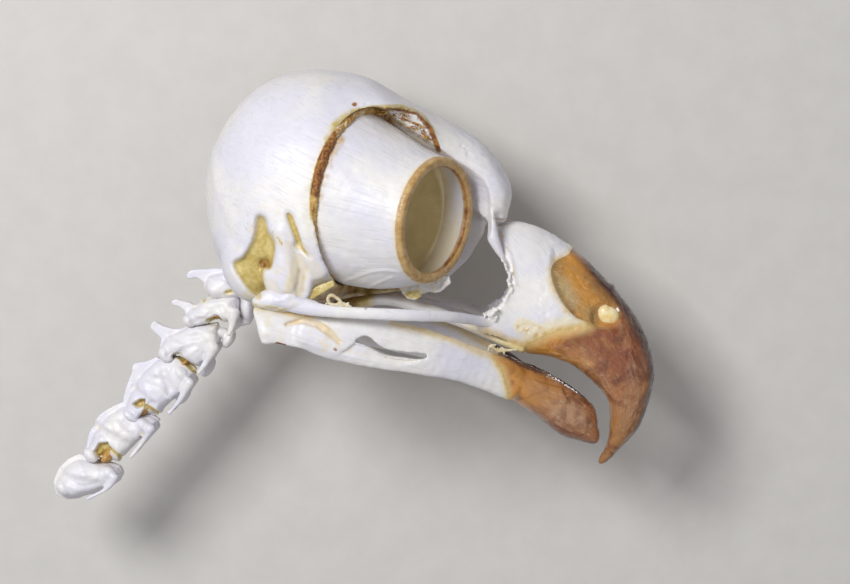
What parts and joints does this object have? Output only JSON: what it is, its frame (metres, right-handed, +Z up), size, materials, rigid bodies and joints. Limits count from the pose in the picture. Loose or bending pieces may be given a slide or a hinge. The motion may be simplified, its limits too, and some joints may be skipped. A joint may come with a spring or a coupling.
{
  "type": "owl skull with neck bones",
  "caption": "Bleached skull of a medium-sized owl with bony eye tubes, amber-brown horn bill sheaths and a run of neck bones, lying on its left side.",
  "frame": {"origin": "middle of the bounding box on the floor plane, under the skull as it lies on its left side", "axes": "+X forward along the skull towards the bill, +Y from the bill's underside towards the crown, +Z up from the floor, which is the animal's right"},
  "size_m": [0.0908, 0.0646, 0.0422],
  "materials": {
    "bone": "dry bleached bone, bluish white with creamy patches",
    "eye_tube": "thin smooth bone with an amber rim",
    "horn": "worn satin horn, amber to dark red-brown, scratched"
  },
  "bodies": {
    "root": {"braincase": "bone", "upper_bill": "bone", "mandible": "bone", "jugal_right": "bone", "jugal_left": "bone", "quadrate_right": "bone", "quadrate_left": "bone", "palate": "bone", "atlas": "bone", "axis": "bone", "cervical_3": "bone", "cervical_4": "bone", "cervical_5": "bone", "cervical_6": "bone", "cervical_7": "bone", "eye_tube_right": "eye_tube", "eye_tube_left": "eye_tube", "upper_sheath": "horn", "lower_sheath": "horn"}
  },
  "joints": []
}
